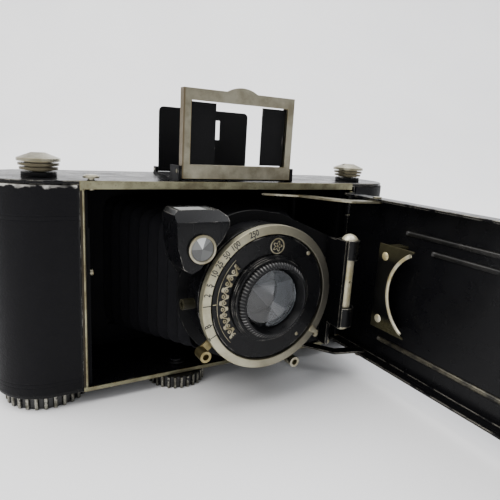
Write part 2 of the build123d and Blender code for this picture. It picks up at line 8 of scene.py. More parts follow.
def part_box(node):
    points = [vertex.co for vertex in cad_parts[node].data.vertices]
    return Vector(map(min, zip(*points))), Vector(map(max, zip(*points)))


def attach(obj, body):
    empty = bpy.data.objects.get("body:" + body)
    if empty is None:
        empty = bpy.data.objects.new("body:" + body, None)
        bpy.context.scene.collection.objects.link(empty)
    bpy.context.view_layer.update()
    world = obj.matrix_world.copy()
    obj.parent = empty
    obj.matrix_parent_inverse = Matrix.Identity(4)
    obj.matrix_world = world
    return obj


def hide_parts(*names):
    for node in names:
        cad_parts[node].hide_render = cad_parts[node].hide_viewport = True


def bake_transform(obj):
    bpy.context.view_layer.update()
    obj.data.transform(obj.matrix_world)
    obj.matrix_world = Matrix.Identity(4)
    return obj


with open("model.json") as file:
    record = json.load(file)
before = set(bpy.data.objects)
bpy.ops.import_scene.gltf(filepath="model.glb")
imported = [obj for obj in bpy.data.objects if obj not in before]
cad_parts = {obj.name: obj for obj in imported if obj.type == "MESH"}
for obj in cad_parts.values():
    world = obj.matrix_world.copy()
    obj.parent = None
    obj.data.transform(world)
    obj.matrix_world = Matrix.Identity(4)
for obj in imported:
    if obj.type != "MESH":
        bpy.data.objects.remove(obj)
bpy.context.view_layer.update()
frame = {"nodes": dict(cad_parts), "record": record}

mm = 0.001

# viewpoint, floor and light
view = {
    "place": (-0.0871, -0.1834, 0.0916),
    "heading": 30.38,  # degrees from +Y towards +X
    "tilt": -12.95,
    "roll": 3.42,
    "lens": 33.87,
}
stand = {"height": -0.0049, "half": 3.0, "front": -1.6, "flat": 0.55, "bend": 0.5, "top": 2.6,
         "colour": (0.92, 0.92, 0.925, 1),
         "shade": (0.86, 0.86, 0.87, 1)}
studio = {
    "sky": (0.97, 0.98, 1.0, 1),
    "skyStrength": 0.74,
    "aim": (0, -0.03, 0.04),
    "window": {"place": (-0.75, 0.15, 1.15), "size": 1.3, "power": 31.0, "colour": (1.0, 0.985, 0.96)},
    "fill": {"place": (0.6, 0.1, 1.3), "size": 1.6, "power": 22.0, "colour": (0.97, 0.98, 1.0)},
}


def placeCamera():
    # the viewing direction from heading and tilt, then a roll about it
    heading, tilt, roll = (math.radians(view[k]) for k in ("heading", "tilt", "roll"))
    forward = Vector((math.sin(heading) * math.cos(tilt), math.cos(heading) * math.cos(tilt),
                      math.sin(tilt)))
    right = forward.cross(Vector((0, 0, 1))).normalized()
    up = right.cross(forward)
    turned = Matrix.Rotation(-roll, 3, forward)
    right, up = turned @ right, turned @ up
    data = bpy.data.cameras.new("camera")
    data.lens = view["lens"]
    data.sensor_width = 36
    data.clip_start = 0.01
    camera = bpy.data.objects.new("camera", data)
    camera.matrix_world = Matrix.Translation(view["place"]) @ Matrix((right, up,
                                                                      -forward)).transposed().to_4x4()
    bpy.context.collection.objects.link(camera)
    bpy.context.scene.camera = camera


def placeLamp(name, lamp):
    data = bpy.data.lights.new(name, "AREA")
    data.size = lamp["size"]
    data.energy = lamp["power"]
    data.color = lamp["colour"]
    obj = bpy.data.objects.new(name, data)
    aim = Vector(studio["aim"]) - Vector(lamp["place"])
    obj.matrix_world = Matrix.Translation(lamp["place"]) @ aim.to_track_quat("-Z", "Y").to_matrix().to_4x4()
    bpy.context.collection.objects.link(obj)


placeCamera()
placeLamp("window", studio["window"])
placeLamp("fill", studio["fill"])
world = bpy.data.worlds.new("world")
world.use_nodes = True
world.node_tree.nodes["Background"].inputs["Color"].default_value = studio["sky"]
world.node_tree.nodes["Background"].inputs["Strength"].default_value = studio["skyStrength"]
bpy.context.scene.world = world
print("camera and lights placed")


# finishes
def addNode(tree, kind, settings=None, sockets=None):
    # makes a node, sets its fields, and fills its sockets with values or links
    made = tree.nodes.new(kind)
    for field, value in (settings or {}).items():
        setattr(made, field, value)
    for key, value in (sockets or {}).items():
        if isinstance(value, bpy.types.NodeSocket):
            tree.links.new(value, made.inputs[key])
        else:
            made.inputs[key].default_value = value
    return made


def newFinish(name):
    finish = bpy.data.materials.new(name)
    finish.use_nodes = True
    tree = finish.node_tree
    return finish, tree, tree.nodes["Principled BSDF"]


def objectPlace(tree, scale=(1, 1, 1), turn=(0, 0, 0)):
    place = addNode(tree, "ShaderNodeTexCoord").outputs["Object"]
    return addNode(tree, "ShaderNodeMapping", None,
                   {"Vector": place, "Scale": scale, "Rotation": turn}).outputs[0]


def noise(tree, place, scale, detail=4.0, rough=0.55):
    return addNode(tree, "ShaderNodeTexNoise", None, {"Vector": place, "Scale": scale, "Detail": detail,
                                                      "Roughness": rough}).outputs["Fac"]


def ramp(tree, value, low, high, toLow=0.0, toHigh=1.0):
    return addNode(tree, "ShaderNodeMapRange", None, {"Value": value, "From Min": low, "From Max": high,
                                                      "To Min": toLow, "To Max": toHigh}).outputs[0]


def blendColour(tree, share, first, second):
    mixer = addNode(tree, "ShaderNodeMix", {"data_type": "RGBA"})
    for socket, value in ((mixer.inputs[0], share), (mixer.inputs[6], first), (mixer.inputs[7], second)):
        if isinstance(value, bpy.types.NodeSocket):
            tree.links.new(value, socket)
        else:
            socket.default_value = value
    return mixer.outputs[2]


def sums(tree, how, first, second):
    made = addNode(tree, "ShaderNodeMath", {"operation": how, "use_clamp": how == "MULTIPLY"})
    for socket, value in zip(made.inputs, (first, second)):
        if isinstance(value, bpy.types.NodeSocket):
            tree.links.new(value, socket)
        else:
            socket.default_value = value
    return made.outputs[0]


def edgeMask(tree, width, low=0.02, high=0.12):
    # 1 where a rounded copy of the surface turns away from it, which is along its edges
    rounded = addNode(tree, "ShaderNodeBevel", {"samples": 4}, {"Radius": width}).outputs[0]
    plain = addNode(tree, "ShaderNodeNewGeometry").outputs["Normal"]
    facing = addNode(tree, "ShaderNodeVectorMath", {"operation": "DOT_PRODUCT"},
                     {0: rounded, 1: plain}).outputs["Value"]
    return ramp(tree, sums(tree, "SUBTRACT", 1.0, facing), low, high)


def bumpFrom(tree, height, strength, depth):
    return addNode(tree, "ShaderNodeBump", None,
                   {"Height": height, "Strength": strength, "Distance": depth}).outputs[0]


def paintFinish(name, look):
    # black paint: uneven gloss, fine scratches, metal showing where edges have rubbed
    finish, tree, shader = newFinish(name)
    place = objectPlace(tree)
    broad = noise(tree, place, look["patch"], 5)
    fine = noise(tree, place, 2600, 2)
    streaks = noise(tree, objectPlace(tree, (1400, 60, 60), (0.3, 0.5, 0.9)), 1.0, 3)
    edges = edgeMask(tree, look["edge"])
    worn = sums(tree, "MULTIPLY", edges,
                ramp(tree, noise(tree, place, look["wearPatch"], 5), look["wearFrom"],
                                              look["wearFrom"] + 0.12))
    dust = ramp(tree, fine, 0.62, 0.8, 0, look["dust"])
    dull = blendColour(tree, dust, look["colour"], (0.20, 0.20, 0.19, 1))
    tree.links.new(blendColour(tree, worn, dull, look["metal"]), shader.inputs["Base Color"])
    tree.links.new(sums(tree, "MULTIPLY", worn, 0.9), shader.inputs["Metallic"])
    shader.inputs["Specular IOR Level"].default_value = look["sheen"]
    gloss = ramp(tree, broad, 0.3, 0.7, look["rough"] - 0.07, look["rough"] + 0.09)
    gloss = sums(tree, "ADD", gloss, ramp(tree, streaks, 0.6, 0.75, 0, 0.1))
    tree.links.new(gloss, shader.inputs["Roughness"])
    tree.links.new(bumpFrom(tree, sums(tree, "ADD", fine, broad), look["bump"], 0.00006),
                   shader.inputs["Normal"])
    return finish


def platedFinish(name, look):
    # nickel plate: patches of tarnish, brass under worn edges, hairlines
    finish, tree, shader = newFinish(name)
    place = objectPlace(tree)
    patch = noise(tree, place, look["patch"], 6, 0.6)
    speck = noise(tree, place, 1700, 3)
    hair = noise(tree, objectPlace(tree, (90, 2400, 2400), (0.2, 0.1, 0.4)), 1.0, 2)
    tarnished = blendColour(tree, ramp(tree, patch, 0.42, 0.62), look["colour"], look["tarnish"])
    worn = sums(tree, "MULTIPLY", edgeMask(tree, look["edge"]), ramp(tree, patch, 0.40, 0.56))
    brassy = blendColour(tree, worn, tarnished, look["brass"])
    if look["shadeAndToneTo"]:
        # darker towards one side along an axis, and with fadeAbout set, darker near a middle level: painted
        # shade on the speed ring's right side, on the trim strip below its top rail and on the finder frame's
        # left end; darker below the cap on the knobs; black paint over the middle of the standard rest
        away = addNode(tree, "ShaderNodeSeparateXYZ", None, {0: place}).outputs[look["fadeAxis"]]
        if look["fadeAbout"]:
            away = sums(tree, "ABSOLUTE", sums(tree, "SUBTRACT", away, look["fadeAbout"]), 0)
        brassy = blendColour(tree, ramp(tree, away, *look["fade"]), brassy, look["shadeAndToneTo"])
    grime = ramp(tree, speck, look["grimeFrom"], look["grimeFrom"] + 0.12, 0, look["grime"])
    tree.links.new(blendColour(tree, grime, brassy, (0.035, 0.03, 0.022, 1)), shader.inputs["Base Color"])
    shader.inputs["Metallic"].default_value = look["metallic"]
    rough = sums(tree, "ADD", ramp(tree, patch, 0.35, 0.65, look["rough"] - 0.08, look["rough"] + 0.12),
                 ramp(tree, hair, 0.5, 0.8, 0, 0.12))
    tree.links.new(rough, shader.inputs["Roughness"])
    tree.links.new(bumpFrom(tree, sums(tree, "ADD", hair, speck), 0.25, 0.00003), shader.inputs["Normal"])
    return finish


def grainFinish(name, look):
    # leather grain: rounded cells between creases, worn paler on the crests, with pressed border lines
    finish, tree, shader = newFinish(name)
    place = objectPlace(tree)
    wander = addNode(tree, "ShaderNodeTexNoise", None,
                     {"Vector": place, "Scale": 500, "Detail": 2}).outputs["Color"]
    shifted = addNode(tree, "ShaderNodeVectorMath", {"operation": "MULTIPLY_ADD"},
                      {0: wander, 1: (0.0006, 0.0006, 0.0006), 2: place}).outputs[0]
    cells = addNode(tree, "ShaderNodeTexVoronoi", {"feature": "F1"},
                    {"Vector": shifted, "Scale": look["cells"]})
    pebble = ramp(tree, cells.outputs["Distance"], 0.05, 0.75, 1, 0)
    fold = noise(tree, place, look["folds"], 6, 0.65)
    height = sums(tree, "ADD", sums(tree, "MULTIPLY", pebble, 0.6), sums(tree, "MULTIPLY", fold, 0.8))
    rise = addNode(tree, "ShaderNodeSeparateXYZ", None, {0: place}).outputs["Z"]
    for line in look["lines"]:
        away = sums(tree, "ABSOLUTE", sums(tree, "SUBTRACT", rise, line * mm), 0)
        groove = ramp(tree, away, 0.0, look["lineWidth"] * mm, 1.6, 0)
        height = sums(tree, "SUBTRACT", height, groove)
    shader.inputs["Specular IOR Level"].default_value = look["sheen"]
    crest = ramp(tree, sums(tree, "ADD", pebble, fold), 0.95, 1.45)
    rubbed = ramp(tree, noise(tree, place, 45, 4), 0.45, 0.7, 0.1, 0.8)
    colour = blendColour(tree, sums(tree, "MULTIPLY", crest, rubbed), look["colour"], look["rubbed"])
    if look["fray"]:
        low, high = look["fray"]
        torn = ramp(tree, sums(tree, "ADD", rise, ramp(tree, noise(tree, place, 160, 5), 0.3, 0.7,
                                                       -1.6 * mm, 1.6 * mm)),
                    low * mm, high * mm)
        torn = sums(tree, "MULTIPLY", torn, ramp(tree, noise(tree, place, 60, 3), 0.46, 0.56))
        colour = blendColour(tree, torn, colour, look["torn"])
    tree.links.new(colour, shader.inputs["Base Color"])
    tree.links.new(ramp(tree, height, 0.2, 1.2, look["rough"] + 0.1, look["rough"] - 0.08),
                   shader.inputs["Roughness"])
    tree.links.new(bumpFrom(tree, height, look["bump"], 0.00018), shader.inputs["Normal"])
    return finish


def glassFinish(name, look):
    finish, tree, shader = newFinish(name)
    place = objectPlace(tree)
    tree.links.new(blendColour(tree, ramp(tree, noise(tree, place, 60, 3), 0.3, 0.7), look["colour"],
                               look["shade"]),
                   shader.inputs["Base Color"])
    tree.links.new(ramp(tree, noise(tree, place, 120, 3), 0.45, 0.8, look["rough"], look["rough"] + 0.03),
                   shader.inputs["Roughness"])
    shader.inputs["Transmission Weight"].default_value = look["clear"]
    shader.inputs["IOR"].default_value = 1.5
    shader.inputs["Coat Weight"].default_value = look["coat"]
    shader.inputs["Coat Roughness"].default_value = 0.03
    return finish


def sectorFinish(name, look, centreX, centreZ):
    # overlapping thin blades: each turn sector about the lens axis has its own tone, painted light and shade
    # for how each blade catches the light; the finder glass takes the same sectors about its own centre as a
    # painted reflection
    finish, tree, shader = newFinish(name)
    place = objectPlace(tree)
    parts = addNode(tree, "ShaderNodeSeparateXYZ", None, {0: place})
    angle = sums(tree, "ARCTAN2", sums(tree, "SUBTRACT", parts.outputs[2], centreZ),
                 sums(tree, "SUBTRACT", parts.outputs[0], centreX))
    tones = addNode(tree, "ShaderNodeValToRGB", None, {0: ramp(tree, angle, -math.pi, math.pi)})
    tones.color_ramp.interpolation = "CONSTANT"
    for index, (start, tone) in enumerate(look["sectors"]):
        stop = tones.color_ramp.elements[index] if index < 2 else tones.color_ramp.elements.new(start)
        stop.position = start
        stop.color = (tone * 0.98, tone, tone * 0.98, 1)
    tree.links.new(tones.outputs[0], shader.inputs["Base Color"])
    shader.inputs["Metallic"].default_value = 0.35
    tree.links.new(ramp(tree, noise(tree, place, 300, 3), 0.3, 0.7, look["rough"] - 0.05,
                        look["rough"] + 0.05),
                   shader.inputs["Roughness"])
    return finish


def reliefFinish(name, look):
    # raised metal over a painted ground: the piece's own relief attribute says where the metal shows
    finish, tree, shader = newFinish(name)
    place = objectPlace(tree)
    lift = addNode(tree, "ShaderNodeAttribute", {"attribute_name": "relief"}).outputs["Fac"]
    shader.inputs["Specular IOR Level"].default_value = 0.2
    shows = ramp(tree, sums(tree, "ADD", lift, ramp(tree, noise(tree, place, 1300, 3), 0.3, 0.7, -0.12,
                                                    0.12)),
                 look["from"], look["from"] + 0.16)
    metal = blendColour(tree, ramp(tree, noise(tree, place, 260, 4), 0.4, 0.6), look["metal"],
                        look["tarnish"])
    tree.links.new(blendColour(tree, shows, look["ground"], metal), shader.inputs["Base Color"])
    tree.links.new(sums(tree, "MULTIPLY", shows, 0.95), shader.inputs["Metallic"])
    tree.links.new(ramp(tree, noise(tree, place, 700, 3), 0.3, 0.7, look["rough"] - 0.06,
                        look["rough"] + 0.1),
                   shader.inputs["Roughness"])
    return finish


paintLook = {"colour": (0.003, 0.003, 0.0036, 1), "sheen": 0.15, "metal": (0.42, 0.40, 0.36, 1),
             "rough": 0.27, "patch": 90,
             "wearPatch": 180, "wearFrom": 0.50, "edge": 0.00035, "dust": 0.05, "bump": 0.12}
finishes = {
    "blackPaint": paintFinish("blackPaint", paintLook),
    "rubbedPaint": paintFinish("rubbedPaint", {**paintLook, "wearFrom": 0.40, "edge": 0.0005,
                                               "metal": (0.50, 0.47, 0.40, 1)}),
    "dullPaint": paintFinish("dullPaint", {**paintLook, "rough": 0.55, "wearFrom": 0.6, "bump": 0.3,
                                           "colour": (0.0025, 0.0025, 0.003, 1)}),
    "matteBlack": paintFinish("matteBlack", {**paintLook, "rough": 0.8, "wearFrom": 0.75, "bump": 0.35,
                                             "colour": (0.004, 0.004, 0.0048, 1), "dust": 0.01,
                                             "sheen": 0.10}),
    "olivePaint": paintFinish("olivePaint", {**paintLook, "rough": 0.42, "colour": (0.012, 0.011, 0.006, 1),
                                             "metal": (0.16, 0.145, 0.09, 1), "wearFrom": 0.42}),
}
plateLook = {"colour": (0.34, 0.32, 0.25, 1), "tarnish": (0.20, 0.185, 0.13, 1),
             "brass": (0.33, 0.25, 0.10, 1),
             "patch": 130, "edge": 0.0003, "rough": 0.30, "metallic": 1.0, "grime": 0.5, "grimeFrom": 0.66,
             "shadeAndToneTo": None, "fade": (0, 1),
             "fadeAxis": 0, "fadeAbout": None}
finishes.update({
    "nickel": platedFinish("nickel", plateLook),
    "duskyNickel": platedFinish("duskyNickel", {**plateLook, "colour": (0.27, 0.255, 0.165, 1),
                                                "tarnish": (0.15, 0.135, 0.085, 1), "rough": 0.36,
                                                "grimeFrom": 0.58}),
    # nickel trim whose strip below the top rail is painted dark: painted shade
    "trimPlatePaintedShade": platedFinish("trimPlatePaintedShade", {**plateLook, "colour": (0.25, 0.24, 0.155, 1), "rough": 0.36,
                                            "tarnish": (0.15, 0.135, 0.085, 1), "grimeFrom": 0.58,
                                            "shadeAndToneTo": (0.034, 0.029, 0.022, 1), "fade": (0.0358, 0.0354),
                                            "fadeAxis": 2, "fadeAbout": 0.0373}),
    "restPlate": platedFinish("restPlate",
                              {**plateLook, "colour": (0.055, 0.050, 0.026, 1), "metallic": 0.5,
                                            "tarnish": (0.03, 0.027, 0.014, 1),
                                            "brass": (0.10, 0.085, 0.04, 1),
                                            "shadeAndToneTo": (0.004, 0.004, 0.004, 1), "fade": (0.0140, 0.0112),
                                            "fadeAxis": 2, "fadeAbout": 0.0378}),
    "knobPlate": platedFinish("knobPlate", {**plateLook, "shadeAndToneTo": (0.12, 0.105, 0.07, 1), "fadeAxis": 2,
                                            "fade": (0.0812, 0.0806)}),
    "wornRail": platedFinish("wornRail", {**plateLook, "colour": (0.075, 0.068, 0.048, 1), "metallic": 0.5,
                                          "tarnish": (0.012, 0.011, 0.009, 1),
                                          "brass": (0.10, 0.09, 0.06, 1),
                                          "patch": 210}),
    "dimRail": platedFinish("dimRail", {**plateLook, "colour": (0.020, 0.019, 0.018, 1), "metallic": 0.5,
                                        "tarnish": (0.004, 0.004, 0.004, 1),
                                        "brass": (0.04, 0.038, 0.03, 1)}),
    # nickel made paler and half diffuse so it shows bright out of the lamps' reflection: painted highlight on
    # the foot tube, the rest rivets and the rest rim
    "nickelPaintedHighlight": platedFinish("nickelPaintedHighlight", {**plateLook, "colour": (0.62, 0.59, 0.47, 1), "metallic": 0.45,
                                            "tarnish": (0.42, 0.36, 0.19, 1), "patch": 90}),
    # nickel frame darker at its left end: painted shade
    "framePlatePaintedShade": platedFinish("framePlatePaintedShade", {**plateLook, "colour": (0.33, 0.31, 0.235, 1), "rough": 0.36,
                                              "tarnish": (0.19, 0.17, 0.12, 1), "patch": 80,
                                              "shadeAndToneTo": (0.13, 0.10, 0.055, 1),
                                              "fade": (-0.0210, -0.0216), "fadeAxis": 0}),
    # nickel ring that darkens towards the right: painted shade standing for light from the upper left
    "dialNickelPaintedShade": platedFinish("dialNickelPaintedShade", {**plateLook, "colour": (0.43, 0.405, 0.295, 1), "rough": 0.46,
                                              "tarnish": (0.36, 0.335, 0.24, 1), "grime": 0.15,
                                              "shadeAndToneTo": (0.075, 0.07, 0.06, 1), "fade": (-0.016, 0.026)}),
    "brassy": platedFinish("brassy", {**plateLook, "colour": (0.24, 0.20, 0.10, 1),
                                      "tarnish": (0.12, 0.098, 0.045, 1), "rough": 0.34}),
    # sector tones of the blades: painted light and shade
    "blade": sectorFinish("blade",
                          {"rough": 0.45, "sectors": ((0.0, 0.08), (0.17, 0.02), (0.36, 0.13), (0.53, 0.05),
                                                               (0.69, 0.10), (0.86, 0.035))},
                          0, sum(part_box("speed_ring")[i][2] for i in (0, 1)) / 2),
})
leatherLook = {"colour": (0.0028, 0.0027, 0.0036, 1), "rubbed": (0.0075, 0.0075, 0.0095, 1), "sheen": 0.10,
               "torn": (0.62, 0.60, 0.55, 1),
               "rough": 0.46, "bump": 0.35, "cells": 1500, "folds": 420, "lines": (), "lineWidth": 0.35,
               "fray": None}
borderLines = (4.6, 6.0, 63.2, 64.6)
finishes.update({
    "endLeather": grainFinish("endLeather", {**leatherLook, "lines": borderLines, "fray": (74.0, 74.5)}),
    "plainLeather": grainFinish("plainLeather", leatherLook),
    "bellowsCloth": grainFinish("bellowsCloth", {**leatherLook, "rough": 0.75, "cells": 2600, "bump": 0.3,
                                                 "colour": (0.0035, 0.0035, 0.0046, 1),
                                                 "rubbed": (0.010, 0.010, 0.013, 1), "sheen": 0.12}),
    "lensGlass": glassFinish("lensGlass", {"colour": (0.80, 0.83, 0.87, 1), "shade": (0.72, 0.76, 0.82, 1),
                                           "rough": 0.02, "clear": 1.0, "coat": 0.3}),
    # sector tones on the finder glass, one of them bright: painted reflection
    "finderGlassPaintedReflection": sectorFinish("finderGlassPaintedReflection",
                                {"rough": 0.22, "sectors": ((0.0, 0.075), (0.22, 0.10), (0.45, 0.07),
                                                                           (0.62, 0.13), (0.70, 0.50),
                                                                           (0.84, 0.16))},
                                (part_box("brilliant_bezel")[0][0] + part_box("brilliant_bezel")[1][0]) / 2,
                                (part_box("brilliant_bezel")[0][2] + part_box("brilliant_bezel")[1][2]) / 2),
    "redGlass": glassFinish("redGlass", {"colour": (0.5, 0.012, 0.006, 1), "shade": (0.35, 0.006, 0.004, 1),
                                         "rough": 0.12, "clear": 0.4, "coat": 0.5}),
    "inlay": reliefFinish("inlay", {"metal": (0.36, 0.33, 0.24, 1), "tarnish": (0.20, 0.175, 0.11, 1),
                                    "ground": (0.003, 0.003, 0.0036, 1), "from": 0.42, "rough": 0.38}),
    "knurlPaint": reliefFinish("knurlPaint",
                               {"metal": (0.16, 0.155, 0.15, 1), "tarnish": (0.05, 0.05, 0.05, 1),
                                              "ground": (0.003, 0.003, 0.0036, 1), "from": 0.72,
                                              "rough": 0.32}),
})
inkLook = {"colour": (0.004, 0.004, 0.004, 1), "shade": (0.012, 0.011, 0.010, 1)}
ink, inkTree, inkShader = newFinish("ink")
inkTree.links.new(blendColour(inkTree, noise(inkTree, objectPlace(inkTree), 2200, 3), inkLook["colour"],
                              inkLook["shade"]), inkShader.inputs["Base Color"])
inkShader.inputs["Roughness"].default_value = 0.5
print("finishes made")


# mesh making
def addPiece(name, points, faces, finish, body, smooth=True):
    mesh = bpy.data.meshes.new(name)
    mesh.from_pydata(points.reshape(-1, 3).tolist(), [], [list(f) for f in faces])
    mesh.update()
    mesh.polygons.foreach_set("use_smooth", np.full(len(mesh.polygons), smooth))
    mesh.materials.append(finish)
    piece = bpy.data.objects.new(name, mesh)
    bpy.context.collection.objects.link(piece)
    if body:
        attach(piece, body)
    return piece


def gridFaces(rows, columns, wrapRows=False, wrapColumns=False, first=0):
    # quads between neighbouring points of a grid, joined round where it wraps
    row, column = np.meshgrid(np.arange(rows - (not wrapRows)), np.arange(columns - (not wrapColumns)),
                              indexing="ij")
    nextRow, nextColumn = (row + 1) % rows, (column + 1) % columns
    corners = (row * columns + column, nextRow * columns + column, nextRow * columns + nextColumn,
               row * columns + nextColumn)
    return first + np.stack(corners, -1).reshape(-1, 4)


def storeRelief(piece, values):
    piece.data.attributes.new("relief", "FLOAT", "POINT").data.foreach_set("value",
                                                                           values.astype(np.float32).ravel())


def soften(name, nodeName, finish, body, width=0.2, segments=2, rounded=False):
    # the piece's own shape with its hard edges rounded a little
    source = frame["nodes"][nodeName]
    mesh = source.data.copy()
    mesh.name = name
    piece = bpy.data.objects.new(name, mesh)
    bpy.context.collection.objects.link(piece)
    mesh.materials.clear()
    mesh.materials.append(finish)
    weld = piece.modifiers.new("weld", "WELD")
    weld.merge_threshold = 0.000001
    bevel = piece.modifiers.new("bevel", "BEVEL")
    bevel.width = width * mm
    bevel.segments = segments
    bevel.limit_method = "ANGLE"
    bevel.angle_limit = math.radians(38)
    bevel.harden_normals = rounded
    mesh.polygons.foreach_set("use_smooth", np.full(len(mesh.polygons), rounded))
    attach(piece, body)
    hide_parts(nodeName)
    return piece


bodyOf = {node: body for body, names in frame["record"]["behaviour"]["bodies"].items() for node in names}

# finishes on the metal pieces
nodeFinish = {
    "top_plate": "rubbedPaint", "bottom_plate": "blackPaint", "end_shell_left": "blackPaint",
    "end_shell_right": "blackPaint", "hinge_pins": "duskyNickel", "film_gate": "matteBlack",
    "film_guides": "dullPaint",
    "front_trim": "trimPlatePaintedShade", "leather_left": "endLeather", "leather_right": "endLeather",
    "tripod_bush": "brassy", "base_foot": "rubbedPaint", "knob_collars": "blackPaint",
    "catch_stud": "nickel",
    "finder_base": "dullPaint", "bed_panel": "rubbedPaint", "bed_leather": "plainLeather",
    "standard_rest": "restPlate", "rest_rivets": "nickelPaintedHighlight", "upper_strut": "nickel",
    "lower_strut": "rubbedPaint",
    "strut_rivets": "nickel", "lens_board": "dullPaint", "foot_bracket": "rubbedPaint",
    "foot_tube": "nickelPaintedHighlight",
    "shutter_housing": "blackPaint", "face_plate": "blackPaint", "lens_mount": "blackPaint",
    "lens_bezel": "blackPaint", "front_glass": "lensGlass", "rear_cell": "dullPaint",
    "rear_glass": "lensGlass",
    "shutter_blades": "blade", "iris_blades": "blade", "cable_socket": "olivePaint",
    "speed_ring": "dialNickelPaintedShade",
    "release_lever": "brassy", "cocking_lever": "nickel", "aperture_lever": "nickel",
    "brilliant_housing": "blackPaint", "brilliant_bezel": "nickel", "brilliant_glass": "finderGlassPaintedReflection",
    "finder_frame": "framePlatePaintedShade", "mask_flap_left": "dullPaint", "mask_flap_right": "dullPaint",
    "rear_sight": "dullPaint", "takeup_knob": "knobPlate", "supply_knob": "knobPlate",
    "takeup_spool": "dullPaint", "release_button": "nickel",
    "back_cover": "blackPaint", "back_leather": "plainLeather", "red_windows": "redGlass",
    "pressure_plate": "dullPaint", "pressure_springs": "nickel", "window_slide": "rubbedPaint",
    "back_latch": "rubbedPaint",
}
for nodeName, finishName in nodeFinish.items():
    mesh = frame["nodes"][nodeName].data
    mesh.materials.clear()
    mesh.materials.append(finishes[finishName])
edgeWidths = {
    "top_plate": 0.4, "bottom_plate": 0.3, "bed_panel": 0.3, "finder_frame": 0.55, "rear_sight": 0.15,
    "finder_base": 0.2, "speed_ring": 0.25, "lens_mount": 0.25, "foot_bracket": 0.35, "foot_tube": 0.15,
    "takeup_knob": 0.25, "supply_knob": 0.25, "release_button": 0.15, "knob_collars": 0.2,
    "shutter_housing": 0.25,
    "release_lever": 0.15, "cocking_lever": 0.15, "aperture_lever": 0.12,
    "back_cover": 0.35, "window_slide": 0.2, "front_trim": 0.12, "base_foot": 0.3, "back_latch": 0.25,
    "lens_board": 0.3, "end_shell_left": 0.2, "end_shell_right": 0.2, "standard_rest": 0.2,
    "upper_strut": 0.2,
    "lower_strut": 0.2, "mask_flap_left": 0.12, "mask_flap_right": 0.12, "brilliant_bezel": 0.2,
}
for nodeName, width in edgeWidths.items():
    soften(nodeName + "_soft", nodeName, finishes[nodeFinish[nodeName]], bodyOf[nodeName],
           width)
soften("brilliant_housing_soft", "brilliant_housing", finishes["blackPaint"], "brilliant",
       1.1, 5, True)
print("metal pieces finished")

# bellows
bellowsShape = {"folds": 9, "depth": 1.7, "backHalf": (42.0, 28.0),
                "frontHalf": (22.4, 22.4),
                "around": 160, "perFold": 6, "wall": 0.5, "square": 0.22}


def pleatedBellows():
    # a rounded rectangle shrinks evenly from the gate to the board, and its size swings in and out once a fold
    low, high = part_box("bellows")
    centre = (low[2] + high[2]) / 2
    count = bellowsShape["folds"] * bellowsShape["perFold"] + 1
    along = np.linspace(0, 1, count)[:, None]
    swing = np.abs(((along * bellowsShape["folds"]) % 1.0) * 2 - 1) * 2 - 1
    turn = np.linspace(0, 2 * np.pi, bellowsShape["around"], endpoint=False)[None, :]
    halfX = (1 - along) * bellowsShape["backHalf"][0] + along * bellowsShape["frontHalf"][0]
    halfZ = (1 - along) * bellowsShape["backHalf"][1] + along * bellowsShape["frontHalf"][1]
    power = bellowsShape["square"]  # 1 is an ellipse, 0 a rectangle
    shapeX = np.sign(np.cos(turn)) * np.abs(np.cos(turn)) ** power
    shapeZ = np.sign(np.sin(turn)) * np.abs(np.sin(turn)) ** power
    push = bellowsShape["depth"] / 2 * swing
    x = (halfX + push) * shapeX * mm
    z = centre + (halfZ + push) * shapeZ * mm
    y = high[1] - 0.0003 - along * (high[1] - low[1] - 0.0006) + 0 * turn
    points = np.stack((x, y, z), -1)
    piece = addPiece("bellowsPleats", points, gridFaces(count, bellowsShape["around"], False, True),
                     finishes["bellowsCloth"], None, smooth=False)
    wall = piece.modifiers.new("wall", "SOLIDIFY")
    wall.thickness = bellowsShape["wall"] * mm
    wall.offset = -1
    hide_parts("bellows")
    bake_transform(piece)


pleatedBellows()
print("bellows made")

# winding and focusing wheels
def wheelFinish(name, nodeName, tipDepth):
    # nickel tooth tips, with everything inward of them black: painted shade in the tooth gaps and over the
    # hub; the mask is the distance from the wheel's own axis
    low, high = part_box(nodeName)
    finish, tree, shader = newFinish(name)
    place = objectPlace(tree)
    parts = addNode(tree, "ShaderNodeSeparateXYZ", None, {0: place})
    axis = ((low[0] + high[0]) / 2, (low[1] + high[1]) / 2)
    offX = sums(tree, "SUBTRACT", parts.outputs[0], axis[0])
    offY = sums(tree, "SUBTRACT", parts.outputs[1], axis[1])
    squares = addNode(tree, "ShaderNodeMath", {"operation": "ADD"},
                      {0: sums(tree, "POWER", sums(tree, "ABSOLUTE", offX, 0), 2.0),
                       1: sums(tree, "POWER", sums(tree, "ABSOLUTE", offY, 0), 2.0)}).outputs[0]
    reach = sums(tree, "SQRT", squares, 0)
    outer = (high[0] - low[0]) / 2
    patch = noise(tree, place, 420, 4)
    tip = sums(tree, "MULTIPLY", ramp(tree, reach, outer - tipDepth, outer - 0.6 * tipDepth),
               ramp(tree, patch, 0.34, 0.44))
    metal = blendColour(tree, ramp(tree, patch, 0.45, 0.6), (0.30, 0.29, 0.25, 1), (0.10, 0.095, 0.075, 1))
    # black below the tooth tips: painted shade
    tree.links.new(blendColour(tree, tip, (0.003, 0.003, 0.0035, 1), metal), shader.inputs["Base Color"])
    tree.links.new(tip, shader.inputs["Metallic"])
    tree.links.new(ramp(tree, patch, 0.3, 0.7, 0.22, 0.42), shader.inputs["Roughness"])
    return finish


for nodeName in ("winding_wheel", "focusing_wheel"):
    finishes[nodeName] = wheelFinish(nodeName, nodeName, 0.0004)
    soften(nodeName + "_soft", nodeName, finishes[nodeName], bodyOf[nodeName], 0.12)
print("wheels finished")

